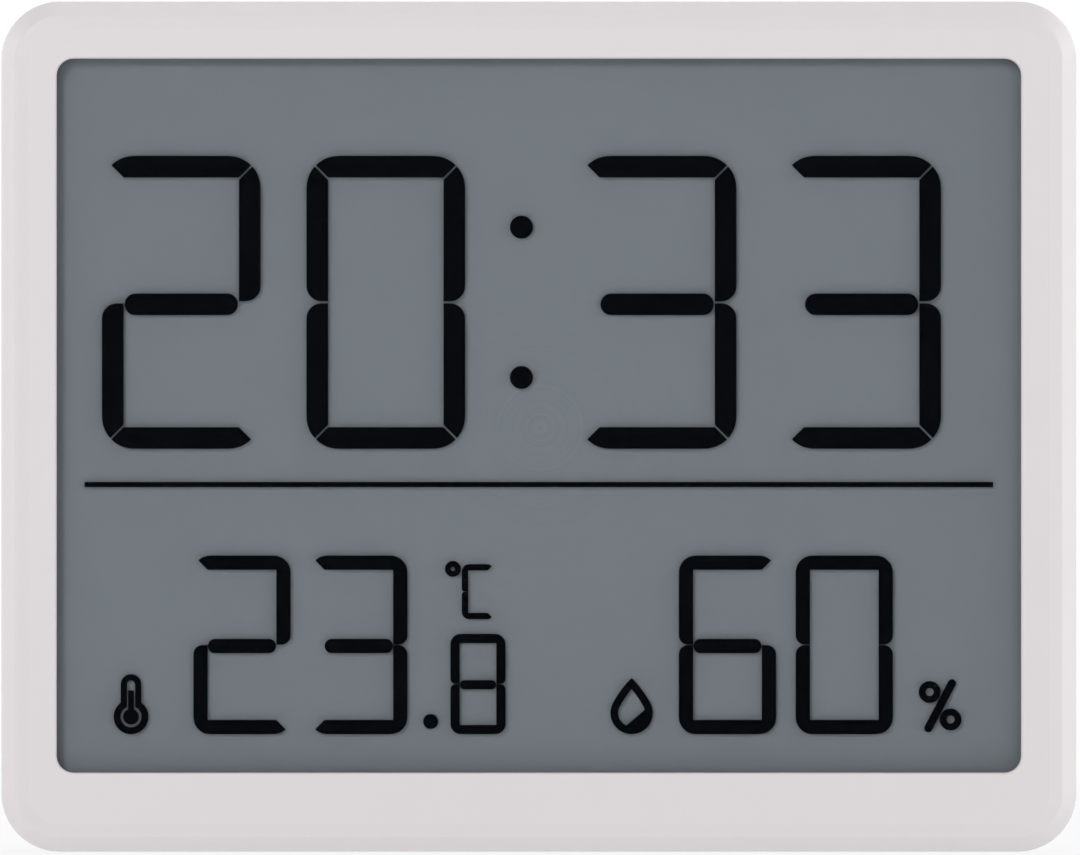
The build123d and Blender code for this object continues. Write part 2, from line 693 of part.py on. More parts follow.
def make_tray():
    """Tray round the glass, with snap tabs, screw bosses and melted stakes that hold the board."""
    tray = slab(case_outline(SIDE_WALL + TRAY_GAP), FRONT_WALL, board_front)
    tray -= slab(glass_outline(GLASS_OVERLAP + GLASS_GAP, CONTACT_LEDGE), FRONT_WALL, tray_front)
    tray -= slab(zebra_profile(ZEBRA_GAP), tray_front, board_front)
    hollow = slab(case_outline(SIDE_WALL + TRAY_GAP + SNAP_REACH), FRONT_WALL, board_front)
    for tab in snap_blocks(SNAP_REACH, 0):
        tray += tab - hollow
    for place in screw_places:
        tray += disc(place, BOSS_R, board_front, post_front)
        tray -= disc(place, SCREW_R + SCREW_GAP, screw_seat - SCREW_LENGTH - COUNTERBORE_GAP, post_front)
    for place in stake_places:
        tray += disc(place, STAKE_R, board_front, board_back)
        tray += disc(place, STAKE_HEAD_R, board_back, board_back + STAKE_HEAD)
    return tray


def make_board():
    """Circuit board with a round hole for the cell and holes for bosses and stakes."""
    inset = SIDE_WALL + FIT_GAP + TONGUE_THICKNESS + BOARD_GAP
    outline = RectangleRounded(case_width - 2 * inset, case_height - 2 * inset, BOARD_CORNER_R)
    outline = Pos(0, case_mid) * outline
    outline -= Pos(well_x, well_z) * Circle(tube_r + BOARD_WELL_GAP)
    for place in screw_places:
        outline -= Pos(*place) * Circle(BOSS_R + BOARD_HOLE_GAP)
    for place in stake_places:
        outline -= Pos(*place) * Circle(STAKE_R + STAKE_GAP)
    return slab(outline, board_front, board_back)


def make_blob():
    """Black drop of resin over the controller, a low cap of a sphere."""
    sphere_r = (BLOB_R ** 2 + BLOB_HEIGHT ** 2) / (2 * BLOB_HEIGHT)
    centre = Pos(0, board_back + BLOB_HEIGHT - sphere_r - case_depth / 2, BLOB_RISE)
    return centre * Sphere(sphere_r) & disc((0, BLOB_RISE), BLOB_R, board_back, board_back + BLOB_HEIGHT)


def make_clock_crystal():
    """Small metal can lying on the board, with its two leads."""
    depth = board_back + CRYSTAL_R
    y = depth - case_depth / 2
    low = case_mid - CRYSTAL_LENGTH / 2
    upright = Plane(origin=(CRYSTAL_X, y, low), z_dir=(0, 0, 1))
    can = extrude(upright * Circle(CRYSTAL_R), amount=CRYSTAL_LENGTH)
    for side in (-1, 1):
        lead = Pos(side * CRYSTAL_R / 2, CRYSTAL_LEAD_R - CRYSTAL_R) * Circle(CRYSTAL_LEAD_R)
        can += extrude(upright * lead, amount=-CRYSTAL_LEAD_LENGTH)
    return can


def make_sensor():
    """Temperature and humidity sensor with its round port, behind the vents."""
    place = Pos(VENT_X, vent_z)
    back = board_back + SENSOR_HEIGHT
    body = slab(place * Rectangle(SENSOR_SIZE, SENSOR_SIZE), board_back, back)
    return body - disc((VENT_X, vent_z), SENSOR_PORT_R, back - SENSOR_PORT_DEPTH, back)


def make_chips(z, height):
    """Row of small chip parts on both sides of the controller."""
    offsets = (CHIP_OFFSET, CHIP_OFFSET + CHIP_SPACING)
    outlines = [Pos(side * x, z) * Rectangle(CHIP_WIDTH, CHIP_LENGTH) for side in (-1, 1) for x in offsets]
    return group([slab(outline, board_back, board_back + height) for outline in outlines])


def make_switch_bodies():
    """Four push switches on the board, each with a round hole for its plunger."""
    bodies = []
    for place in button_places.values():
        body = slab(Pos(*place) * Rectangle(SWITCH_SIZE, SWITCH_SIZE), board_back, switch_back)
        bodies.append(body - disc(place, PLUNGER_R + PLUNGER_GAP, plunger_hole_front, switch_back))
    return group(bodies)


def make_plunger(place):
    """Plunger of one switch."""
    return disc(place, PLUNGER_R, plunger_front, plunger_back)


def button_mark(name):
    """Plain sign sunk in one button: a ring, a triangle either way up, or a bar."""
    marks = {
        "mode": Circle(BUTTON_MARK_R) - Circle(BUTTON_MARK_R - BUTTON_MARK_STROKE),
        "up": RegularPolygon(BUTTON_MARK_R, 3, rotation=90),
        "down": RegularPolygon(BUTTON_MARK_R, 3, rotation=-90),
        "unit": SlotOverall(2 * BUTTON_MARK_R, BUTTON_MARK_STROKE),
    }
    return marks[name]


def make_button(name, place):
    """Button with a flange behind the back wall and a stem that reaches its switch."""
    cap = Pos(*place) * SlotOverall(BUTTON_WIDTH, BUTTON_HEIGHT)
    reach = 2 * BUTTON_FLANGE_REACH
    flange = Pos(*place) * SlotOverall(BUTTON_WIDTH + reach, BUTTON_HEIGHT + reach)
    cap_back = case_depth - BUTTON_FLUSH
    button = slab(cap, flange_front, cap_back)
    button = fillet(edges_at_depth(button, cap_back), BUTTON_EDGE_R)
    button += slab(flange, flange_front, back_inside)
    button -= slab(Pos(*place) * button_mark(name), cap_back - BUTTON_MARK_DEPTH, cap_back)
    return button + disc(place, BUTTON_STEM_R, plunger_back, flange_front)


def make_cell():
    """Coin cell, its smaller cap towards the front."""
    place = (well_x, well_z)
    can = disc(place, CELL_R, cell_front + CELL_CAP_HEIGHT, cell_back)
    can = fillet(edges_at_depth(can, cell_back), CELL_EDGE_R)
    return can + disc(place, CELL_CAP_R, cell_front, cell_front + CELL_CAP_HEIGHT)


def make_plus_contact():
    """Bent strip on the board whose tab touches the side of the cell."""
    left = well_x + CELL_R + CONTACT_TOUCH
    foot_end = well_x + tube_r + BOARD_WELL_GAP + CONTACT_FOOT
    low = well_z - CONTACT_WIDTH / 2
    high = well_z + CONTACT_WIDTH / 2
    foot_back = board_back + CONTACT_THICKNESS
    tab_back = shelf_front - CONTACT_END_GAP
    tab = slab(box_profile(left, left + CONTACT_THICKNESS, low, high), board_back, tab_back)
    return tab + slab(box_profile(left, foot_end, low, high), board_back, foot_back)


def make_minus_contact():
    """Strip under the cap of the cell, bent up over the edge of the board."""
    left = well_x - CONTACT_WIDTH / 2
    right = well_x + CONTACT_WIDTH / 2
    riser = well_z - tube_r - CONTACT_GAP
    foot_end = well_z - tube_r - BOARD_WELL_GAP - CONTACT_FOOT
    foot_back = board_back + CONTACT_THICKNESS
    bend = riser - CONTACT_THICKNESS
    strip = slab(box_profile(left, right, bend, well_z + CONTACT_REACH), board_front, cell_front)
    strip += slab(box_profile(left, right, bend, riser), board_front, foot_back)
    return strip + slab(box_profile(left, right, foot_end, riser), board_back, foot_back)


def sector(radius, angle, width):
    """Wedge of a circle about the well's middle, centred on an angle from X."""
    start = Rot(0, 0, angle - width / 2)
    half = radians(width / 2)
    reach = radius / cos(half)
    tip = [(0, 0), (reach, 0), (reach * cos(2 * half), reach * sin(2 * half))]
    wedge = make_face(Polyline(*tip, close=True))
    return Pos(well_x, well_z) * (start * wedge & Circle(radius))


def tab_angles(turn):
    """Directions of the door's tabs after a turn."""
    return [90 + turn + i * 360 / DOOR_TAB_COUNT for i in range(DOOR_TAB_COUNT)]


def door_mark(radius, turn):
    """Round place of a mark at a radius about the well's middle, above it or turned from there."""
    angle = radians(90 + turn)
    return well_x + radius * cos(angle), well_z + radius * sin(angle)


def make_battery_door():
    """Round door with a coin slot, a mark, three locking tabs and a pad over the cell."""
    place = (well_x, well_z)
    door_back = case_depth - DOOR_FLUSH
    door = disc(place, door_r, disc_front, door_back)
    door = fillet(edges_at_depth(door, door_back), DOOR_EDGE_R)
    mark_place = door_mark(door_r - DOOR_MARK_MARGIN, 0)
    door -= disc(mark_place, DOOR_MARK_R, door_back - DOOR_MARK_DEPTH, door_back)
    door += disc(place, door_hub_r, tab_front, disc_front)
    door += disc(place, pocket_r - DOOR_PAD_INSET, cell_back + DOOR_TAB_GAP, tab_front)
    for angle in tab_angles(0):
        door += slab(sector(door_r, angle, DOOR_TAB_ANGLE), tab_front, tab_back)
    slot = Pos(*place) * SlotOverall(COIN_SLOT_LENGTH, COIN_SLOT_WIDTH)
    return door - slab(slot, door_back - COIN_SLOT_DEPTH, door_back)


def make_stand():
    """Stand plate with a bored barrel at its top and a heel that stops it when open."""
    low = STAND_TIP_MARGIN
    plate = box_profile(-stand_width / 2, stand_width / 2, low, hinge_z)
    plate = fillet(plate.vertices().group_by(Axis.Y)[0], STAND_TIP_R)
    stand = slab(plate, stand_back - STAND_THICKNESS, stand_back)
    heel = box_profile(-stand_width / 2, stand_width / 2, hinge_z, hinge_z + heel_length)
    stand += slab(heel, stand_back - STAND_HEEL, stand_back)
    stand = fillet(edges_at_depth(stand, stand_back), STAND_EDGE_R)
    stand += bar_along_x(STAND_BARREL_R, hinge_depth, hinge_z, stand_width - 2 * STAND_EDGE_R)
    for i in range(GRIP_COUNT):
        groove = Pos(0, low + STAND_TIP_R + i * GRIP_PITCH) * SlotOverall(GRIP_LENGTH, GRIP_WIDTH)
        stand -= slab(groove, stand_back - GRIP_DEPTH, stand_back)
    return stand - bar_along_x(STAND_PIN_R + STAND_PIN_GAP, hinge_depth, hinge_z, stand_width)


def make_stand_pin():
    """Steel pin through the stand's barrel, seated in both walls of the recess."""
    return bar_along_x(STAND_PIN_R, hinge_depth, hinge_z, pin_length)


def make_screws():
    """Four screws with cross recesses, their heads sunk in the back."""
    screws = []
    for place in screw_places:
        head_back = screw_seat + SCREW_HEAD
        screw = disc(place, SCREW_HEAD_R, screw_seat, head_back)
        screw += disc(place, SCREW_R, screw_seat - SCREW_LENGTH, screw_seat)
        cross = Rectangle(SCREW_SLOT_LENGTH, SCREW_SLOT_WIDTH)
        cross += Rectangle(SCREW_SLOT_WIDTH, SCREW_SLOT_LENGTH)
        screws.append(screw - slab(Pos(*place) * cross, head_back - SCREW_SLOT_DEPTH, head_back))
    return group(screws)


def keyhole_profile():
    """Round entry with a narrower slot above it."""
    slot = box_profile(-KEYHOLE_SLOT_R, KEYHOLE_SLOT_R, keyhole_z, keyhole_top_z)
    return Pos(0, keyhole_z) * Circle(KEYHOLE_R) + slot + Pos(0, keyhole_top_z) * Circle(KEYHOLE_SLOT_R)


def back_walls():
    """Ribs, rings and pockets that stand on the inside of the back wall."""
    well = (well_x, well_z)
    half = recess_width / 2 + RECESS_WALL
    recess = box_profile(-half, half, recess_low - RECESS_WALL, recess_high + RECESS_WALL)
    pocket_half = keyhole_pocket_width / 2 + KEYHOLE_POCKET_WALL
    pocket = box_profile(-pocket_half, pocket_half, keyhole_pocket_low - KEYHOLE_POCKET_WALL,
                         min(keyhole_pocket_high + KEYHOLE_POCKET_WALL, case_height - SIDE_WALL))
    walls = [
        slab(recess, recess_floor - RECESS_WALL, back_inside),
        slab(pocket, keyhole_pocket_front - KEYHOLE_POCKET_WALL, back_inside),
        disc(well, well_r, shelf_front, back_inside),
        disc(well, tube_r, tube_front, shelf_front),
    ]
    walls += [disc(place, counterbore_r + POST_WALL, post_front, back_inside) for place in screw_places]
    ring_r = MAGNET_R + MAGNET_GAP + MAGNET_RING_WALL
    walls += [disc(place, ring_r, magnet_front + MAGNET_RING_SHORT, back_inside) for place in magnet_places]
    return walls


def back_cuts():
    """Recesses, bores and slots of the back cover."""
    well = (well_x, well_z)
    recess_half = recess_width / 2
    pocket = box_profile(-keyhole_pocket_width / 2, keyhole_pocket_width / 2, keyhole_pocket_low,
                         min(keyhole_pocket_high, case_height - SIDE_WALL - KEYHOLE_POCKET_WALL))
    notch = box_profile(-FINGER_NOTCH_WIDTH / 2, FINGER_NOTCH_WIDTH / 2, 0, recess_low)
    slot_half = CONTACT_WIDTH / 2 + CONTACT_END_GAP
    contact_slot = box_profile(well_x + CELL_R / 2, well_x + well_r, well_z - slot_half, well_z + slot_half)
    cuts = [
        slab(box_profile(-recess_half, recess_half, recess_low, recess_high), recess_floor, case_depth),
        slab(notch, case_depth - FINGER_NOTCH_DEPTH, case_depth),
        bar_along_x(pin_hole_r, hinge_depth, hinge_z, pin_length + STAND_PIN_SEAT_GAP),
        slab(pocket, keyhole_pocket_front, back_inside),
        slab(keyhole_profile(), back_inside, case_depth),
        disc(well, seat_r, lip_back, case_depth),
        disc(well, lip_r, lip_front, lip_back),
        disc(well, seat_r, shelf_back, lip_front),
        disc(well, pocket_r, tube_front, shelf_back),
        slab(contact_slot, tube_front, shelf_front),
    ]
    notch_angle = DOOR_TAB_ANGLE + 2 * degrees(asin(DOOR_GAP / lip_r))
    for angle in tab_angles(-DOOR_TURN):
        cuts.append(slab(sector(seat_r, angle, notch_angle), lip_front, lip_back))
    mark_r = seat_r + DOOR_MARK_MARGIN
    mark_front = case_depth - DOOR_MARK_DEPTH
    cuts.append(disc(door_mark(mark_r, 0), DOOR_MARK_R, mark_front, case_depth))
    open_mark = Circle(DOOR_MARK_R) - Circle(DOOR_MARK_R - DOOR_MARK_STROKE)
    cuts.append(slab(Pos(*door_mark(mark_r, -DOOR_TURN)) * open_mark, mark_front, case_depth))
    for place in screw_places:
        cuts.append(disc(place, counterbore_r, screw_seat, case_depth))
        cuts.append(disc(place, SCREW_R + COUNTERBORE_GAP, post_front, screw_seat))
    cuts += [disc(place, MAGNET_R + MAGNET_GAP, magnet_front, back_inside) for place in magnet_places]
    cuts += [
        slab(Pos(*place) * SlotOverall(VENT_LENGTH, VENT_WIDTH, rotation=90), back_inside, case_depth)
        for place in vent_places
    ]
    hole = SlotOverall(BUTTON_WIDTH + 2 * BUTTON_GAP, BUTTON_HEIGHT + 2 * BUTTON_GAP)
    cuts += [slab(Pos(*place) * hole, back_inside, case_depth) for place in button_places.values()]
    return cuts


def make_back_cover():
    """Back shell with a tongue that fits inside the front shell and bevelled rims at its back."""
    cover = slab(case_outline(0), seam, case_depth)
    cover = fillet(edges_at_depth(cover, case_depth), BACK_EDGE_R)
    cover = chamfer(edges_at_depth(cover, seam), SEAM_BEVEL)
    cover -= slab(case_outline(SIDE_WALL), seam, back_inside)
    tongue_outer = SIDE_WALL + FIT_GAP
    tongue = case_outline(tongue_outer) - case_outline(tongue_outer + TONGUE_THICKNESS)
    cover += slab(tongue, tongue_front, seam)
    root = case_outline(SIDE_WALL - FIT_GAP) - case_outline(tongue_outer + TONGUE_THICKNESS)
    cover += slab(root, seam, seam + TONGUE_THICKNESS)
    cover += back_walls()
    cover -= back_cuts()
    back_face = cover.faces().group_by(Axis.Y)[-1].sort_by(SortBy.AREA)[-1]
    cover = chamfer(back_face.inner_wires().edges(), RIM_BEVEL)
    reach = recess_width / 2 + RIM_BEVEL
    recess_rim = edges_at_depth(cover, case_depth).filter_by_position(Axis.X, -reach, reach)
    recess_rim = recess_rim.filter_by_position(Axis.Z, recess_low + RIM_BEVEL, recess_high + RIM_BEVEL)
    return chamfer(recess_rim, RIM_BEVEL)


nodes = {
    "front_bezel": make_front_bezel(),
    "display_gasket": make_gasket(),
    "lcd_front_polariser": slab(glass_outline(POLARISER_OVERLAP, 0), polariser_front, front_glass_front),
    "lcd_front_glass": slab(glass_outline(GLASS_OVERLAP, CONTACT_LEDGE), front_glass_front, segment_front),
    "lcd_edge_seal": make_edge_seal(),
    "lcd_time_digits": make_time_digits(),
    "lcd_colon": make_colon(),
    "lcd_divider": make_divider(),
    "lcd_temperature_digits": make_temperature_digits(),
    "lcd_temperature_symbols": make_temperature_symbols(),
    "lcd_humidity_digits": make_humidity_digits(),
    "lcd_humidity_symbols": make_humidity_symbols(),
    "lcd_rear_glass": slab(glass_outline(GLASS_OVERLAP, 0), rear_glass_front, reflector_front),
    "lcd_reflector": slab(glass_outline(POLARISER_OVERLAP, 0), reflector_front, tray_front),
    "display_tray": make_tray(),
    "zebra_strip": slab(zebra_profile(0), segment_front, board_front),
    "main_board": make_board(),
    "controller_blob": make_blob(),
    "clock_crystal": make_clock_crystal(),
    "humidity_sensor": make_sensor(),
    "chip_capacitors": make_chips(BLOB_RISE, CHIP_HEIGHT),
    "chip_resistors": make_chips(BLOB_RISE - CHIP_OFFSET, RESISTOR_HEIGHT),
    "switch_bodies": make_switch_bodies(),
    "coin_cell": make_cell(),
    "battery_plus_contact": make_plus_contact(),
    "battery_minus_contact": make_minus_contact(),
    "battery_door": make_battery_door(),
    "back_cover": make_back_cover(),
    "stand_leg": make_stand(),
    "stand_pin": make_stand_pin(),
    "back_magnets": group([disc(place, MAGNET_R, magnet_front, back_inside) for place in magnet_places]),
    "case_screws": make_screws(),
}
for name, place in button_places.items():
    nodes[f"{name}_button"] = make_button(name, place)
    nodes[f"{name}_plunger"] = make_plunger(place)

os.makedirs("parts", exist_ok=True)
for name, shape in nodes.items():
    export_step(shape, f"parts/{name}.step")
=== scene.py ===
import json
import math

import bpy
import numpy as np
from bpy.props import FloatProperty, FloatVectorProperty, IntProperty, PointerProperty
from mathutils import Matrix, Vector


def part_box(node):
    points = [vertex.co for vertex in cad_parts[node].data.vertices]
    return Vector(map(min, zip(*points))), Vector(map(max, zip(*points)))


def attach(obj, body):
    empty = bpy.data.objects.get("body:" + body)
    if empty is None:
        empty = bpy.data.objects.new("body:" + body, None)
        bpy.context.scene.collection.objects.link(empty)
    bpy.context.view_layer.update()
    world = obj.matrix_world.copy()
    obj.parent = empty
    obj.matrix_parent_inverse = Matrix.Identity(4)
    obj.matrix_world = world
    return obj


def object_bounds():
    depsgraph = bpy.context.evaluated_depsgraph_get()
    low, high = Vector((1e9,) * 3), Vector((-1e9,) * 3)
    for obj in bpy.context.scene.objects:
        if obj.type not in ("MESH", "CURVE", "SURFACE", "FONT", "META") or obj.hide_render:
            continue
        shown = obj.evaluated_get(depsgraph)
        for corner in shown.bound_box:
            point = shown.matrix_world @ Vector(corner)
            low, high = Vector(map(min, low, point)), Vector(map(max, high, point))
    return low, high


bl_info = {
    "name": "Thermometer hygrometer clock",
    "version": (1, 0, 0),
    "blender": (4, 5, 0),
    "location": "3D View > Sidebar > Clock",
    "description": "Dresses a slim display clock with finishes, painted marks and a studio",
    "category": "Object",
}

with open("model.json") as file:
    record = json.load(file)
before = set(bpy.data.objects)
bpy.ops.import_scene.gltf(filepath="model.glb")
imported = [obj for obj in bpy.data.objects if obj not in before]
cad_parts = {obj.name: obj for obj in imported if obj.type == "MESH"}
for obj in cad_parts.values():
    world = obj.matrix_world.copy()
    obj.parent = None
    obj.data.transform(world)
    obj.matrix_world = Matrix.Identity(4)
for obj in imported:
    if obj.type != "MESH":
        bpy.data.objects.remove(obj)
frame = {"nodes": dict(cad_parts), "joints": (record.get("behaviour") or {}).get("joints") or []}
NODES = frame["nodes"]
CAD_LOW, CAD_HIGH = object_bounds()
MILLI = 0.001

# Groups of like pieces
CASE_SHELLS = ("front_bezel", "back_cover")
SEGMENTS = (
    "lcd_time_digits",
    "lcd_colon",
    "lcd_divider",
    "lcd_temperature_digits",
    "lcd_temperature_symbols",
    "lcd_humidity_digits",
    "lcd_humidity_symbols",
)
GLASSES = ("lcd_front_glass", "lcd_rear_glass")
KEYS = ("mode", "up", "down", "unit")
BUTTONS = tuple(f"{key}_button" for key in KEYS)
PLUNGERS = tuple(f"{key}_plunger" for key in KEYS)

# Range that most values of a noise pattern fall in
NOISE_LOW = 0.3
NOISE_HIGH = 0.7

# Angle between two faces from which the edge between them shows
SHARP_EDGE = math.radians(40)

# Light panels round the clock: place, width and height in metres
PANELS = {
    "front": ((0, -1.8, 0.5), 1.6, 0.6),
    "key": ((-0.6, -1.45, 0.62), 0.3, 0.3),
    "low": ((0, -0.6, 0.05), 0.8, 0.08),
    "left": ((-1.2, 0.4, 0.36), 1.4, 0.7),
    "right": ((1.2, 0.1, 0.36), 1.4, 0.7),
    "back": ((0.3, 1.8, 0.6), 1.3, 1.1),
    "top": ((0, 0, 1.4), 1.0, 0.8),
}


# Tone curve of a screen: a straight foot up to a limit, and a shifted power above it
FULL_SCALE = 255
FOOT_LIMIT = 0.04045
FOOT_SLOPE = 12.92
CURVE_SHIFT = 0.055
CURVE_POWER = 2.4

# Distance in metres up to which the camera sees
VIEW_REACH = 50


def screen(red, green, blue):
    """Linear colour of a screen colour from 0 to 255: the inverse of the screen's tone curve."""
    share = np.array((red, green, blue)) / FULL_SCALE
    curve = ((share + CURVE_SHIFT) / (1 + CURVE_SHIFT)) ** CURVE_POWER
    linear = np.where(share <= FOOT_LIMIT, share / FOOT_SLOPE, curve)
    return tuple(float(x) for x in linear)


def colour_property(name, description, colour):
    """Property for one colour of a finish."""
    return FloatVectorProperty(name=name, description=description, subtype="COLOR", size=3,
                               min=0, max=1, default=screen(*colour))


def length_property(name, description, millimetres):
    """Property for one length, given in millimetres and kept in metres."""
    return FloatProperty(name=name, description=description, unit="LENGTH", min=0,
                         default=millimetres * MILLI, precision=5)


def share_property(name, description, share):
    """Property for a share of a whole."""
    return FloatProperty(name=name, description=description, subtype="FACTOR", min=0, max=1,
                         default=share)


class ClockFinish(bpy.types.PropertyGroup):
    """Colours and grain of the clock's finishes."""
    case_colour: colour_property("Case", "Moulded plastic of the case", (220, 215, 217))
    button_colour: colour_property("Buttons", "Plastic of the four buttons", (206, 204, 205))
    mark_colour: colour_property("Marks", "Paint in the sunk marks on the back", (92, 94, 98))
    ground_colour: colour_property("Display ground", "Reflector behind the display", (128, 135, 141))
    segment_colour: colour_property("Segments", "Driven areas of the display", (6, 8, 12))
    film_colour: colour_property("Film", "Tint of the display's film and glass", (24, 26, 29))
    glue_colour: colour_property("Glue", "Seal at the edge of the display", (70, 66, 60))
    foam_colour: colour_property("Gasket", "Foam of the display gasket", (62, 64, 66))
    tray_colour: colour_property("Tray", "Plastic of the display tray", (200, 200, 198))
    rubber_colour: colour_property("Rubber", "Clear layers of the connector rubber", (196, 160, 150))
    board_colour: colour_property("Board", "Solder mask of the circuit board", (22, 84, 48))
    trace_colour: colour_property("Traces", "Copper tracks under the solder mask", (58, 128, 70))
    resin_colour: colour_property("Resin", "Black resin, carbon layers and resistors", (22, 22, 23))
    ceramic_colour: colour_property("Ceramic", "Bodies of the capacitors", (176, 138, 98))
    sensor_colour: colour_property("Sensor", "Body of the humidity sensor", (38, 38, 40))
    switch_colour: colour_property("Switches", "Plastic of the switches", (46, 46, 48))
    steel_colour: colour_property("Steel", "Plated steel of pin, cell and small caps", (196, 194, 190))
    screw_colour: colour_property("Screws", "Plated steel of the case screws", (177, 175, 171))
    contact_colour: colour_property("Contacts", "Spring metal of the battery contacts", (206, 190, 158))
    case_roughness: share_property("Case roughness", "Mattness of the case", 0.5)
    case_grain: length_property("Case grain", "Width of the grain in the moulded surface", 0.16)
    case_grain_height: length_property("Case grain height", "Height of that grain", 0.004)
    chip_grain: length_property("Fine grain", "Width of the grain on buttons and small parts", 0.12)
    chip_grain_height: length_property("Fine grain height", "Height of that grain", 0.003)
    film_clearness: share_property("Film clearness", "Light that a face of the film passes", 0.97)
    glass_clearness: share_property("Glass clearness", "Light that a face of the glass passes", 0.985)


class ClockMarks(bpy.types.PropertyGroup):
    """Sizes of the paint in the sunk marks."""
    paint_gap: length_property("Paint gap", "Space between the paint and the wall of its mark", 0.01)
    paint_thickness: length_property("Paint thickness", "Height of the paint at its rim", 0.09)
    paint_crown: length_property("Paint crown", "Height that the middle of the paint rises by", 0.03)
    button_mark_radius: length_property("Button mark radius", "Radius of the signs on the buttons", 1.1)
    button_mark_stroke: length_property("Button mark stroke", "Line width of ring and bar", 0.45)
    button_mark_depth: length_property("Button mark depth", "Depth of the signs on the buttons", 0.2)
    door_mark_radius: length_property("Door mark radius", "Radius of the dots at the battery door", 0.6)
    door_mark_stroke: length_property("Door mark stroke", "Line width of the ring at the door", 0.3)
    door_mark_depth: length_property("Door mark depth", "Depth of the marks at the battery door", 0.3)
    door_mark_margin: length_property("Door mark margin", "From the marks to the door's rim", 1.4)
    door_gap: length_property("Door gap", "Space round the battery door", 0.2)
    steps: IntProperty(name="Steps", description="Steps round a mark", min=12, default=72)
    rings: IntProperty(name="Rings", description="Steps across the paint", min=3, default=9)


class ClockStage(bpy.types.PropertyGroup):
    """Camera, lights and floor."""
    lens: FloatProperty(name="Lens", description="Focal length of the camera in millimetres", min=1,
                        default=390)
    view_width: length_property("View width", "Width that the picture shows at the front face", 92.275)
    view_x: length_property("View middle", "Middle of the picture across", 0.1)
    view_z: length_property("View height", "Middle of the picture above the floor", 36.3)
    floor_radius: length_property("Floor radius", "Reach of the floor round the clock", 6000)
    floor_colour: colour_property("Floor", "Plain pale floor", (240, 240, 240))
    floor_fibre: length_property("Floor fibre", "Width of the blotches in the floor's paper", 2)
    floor_rings: IntProperty(name="Floor rings", description="Rings of faces in the floor", min=2,
                             default=24)
    floor_steps: IntProperty(name="Floor steps", description="Steps round the floor", min=12,
                             default=96)
    floor_white: share_property("Floor white", "White seen in the floor by the clock", 0.8)
    floor_fade: length_property("Floor fade", "Distance at which the floor is seen as plain white", 300)
    floor_glow: share_property("Floor glow", "White light that the floor gives", 0.52)
    sky_share: share_property("Sky", "Even light from all round, as a share of full exposure", 0.1)
    front_share: share_property("Front light", "Light from the large front panel", 0.12)
    key_share: share_property("Key light", "Light from the panel at the upper left", 0.25)
    low_share: share_property("Low light", "Light from the strip that lies before the clock", 0.13)
    left_share: share_property("Left light", "Light from the panel at the left", 0.39)
    right_share: share_property("Right light", "Light from the panel at the right", 0.65)
    back_share: share_property("Back light", "Light from the panel behind the clock", 0.32)
    top_share: share_property("Top light", "Light from the panel above the clock", 0.34)
    clear_faces: IntProperty(name="Clear faces", description="Clear faces that a ray may pass", min=8,
                             default=16)


